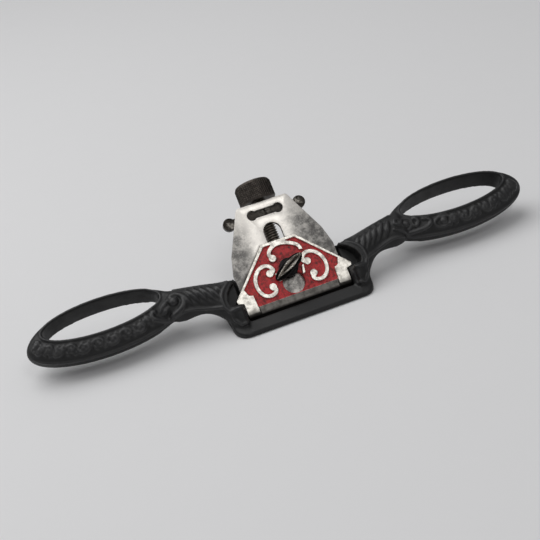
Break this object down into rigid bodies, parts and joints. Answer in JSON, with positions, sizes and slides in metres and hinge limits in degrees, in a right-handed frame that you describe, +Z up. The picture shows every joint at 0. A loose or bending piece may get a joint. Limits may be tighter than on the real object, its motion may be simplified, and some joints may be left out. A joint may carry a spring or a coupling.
{
  "type": "spokeshave",
  "caption": "Iron spokeshave with two open loop handles, a screw-fed cutter on a sloping bed, and a lever cap held by a wing screw.",
  "frame": {"origin": "on the heel of the sole, midway between the handles, 8 mm behind the cutting edge", "axes": "+X along the handles, -Y towards the toe, +Z up from the sole"},
  "size_m": [0.2596, 0.0681, 0.0504],
  "materials": {
    "body_casting": "black japanned casting with relief ornament",
    "cutter_iron": "worn ground steel",
    "lever_cap": "red enamel ground, polished raised rim and scrolls",
    "cap_screw": "dark steel, polished crest",
    "feed_screw": "dark threaded steel",
    "feed_knob": "dark knurled steel",
    "crosshead": "dark steel",
    "retaining_pin": "plain steel"
  },
  "bodies": {
    "stock": {"body_casting": "body_casting", "retaining_pin": "retaining_pin"},
    "feed": {"feed_screw": "feed_screw", "feed_knob": "feed_knob"},
    "cutter": {"cutter_iron": "cutter_iron", "crosshead": "crosshead"},
    "cap": {"lever_cap": "lever_cap"},
    "wing": {"cap_screw": "cap_screw"}
  },
  "joints": [
    {"name": "feed_turn", "type": "hinge", "parent": "stock", "child": "feed", "pos_m": [0, 0.04008, 0.0396], "axis": [0, 0.7071, 0.7071], "range_deg": [-170.1, 1133.9]},
    {"name": "cutter_feed", "type": "slide", "parent": "stock", "child": "cutter", "axis": [0, 0.7071, 0.7071], "range_m": [-0.004, 0.0006]},
    {"name": "cap_screw_turn", "type": "hinge", "parent": "stock", "child": "wing", "pos_m": [0, 0.00657, 0.01457], "axis": [0, -0.7071, 0.7071], "range_deg": [0, 360]},
    {"name": "cap_slide", "type": "slide", "parent": "stock", "child": "cap", "axis": [0, 0.7071, 0.7071], "range_m": [0, 0.005]}
  ],
  "couplings": [
    {"joint": "feed_turn", "follows": "cutter_feed", "rad_per_m": -4947.4}
  ]
}
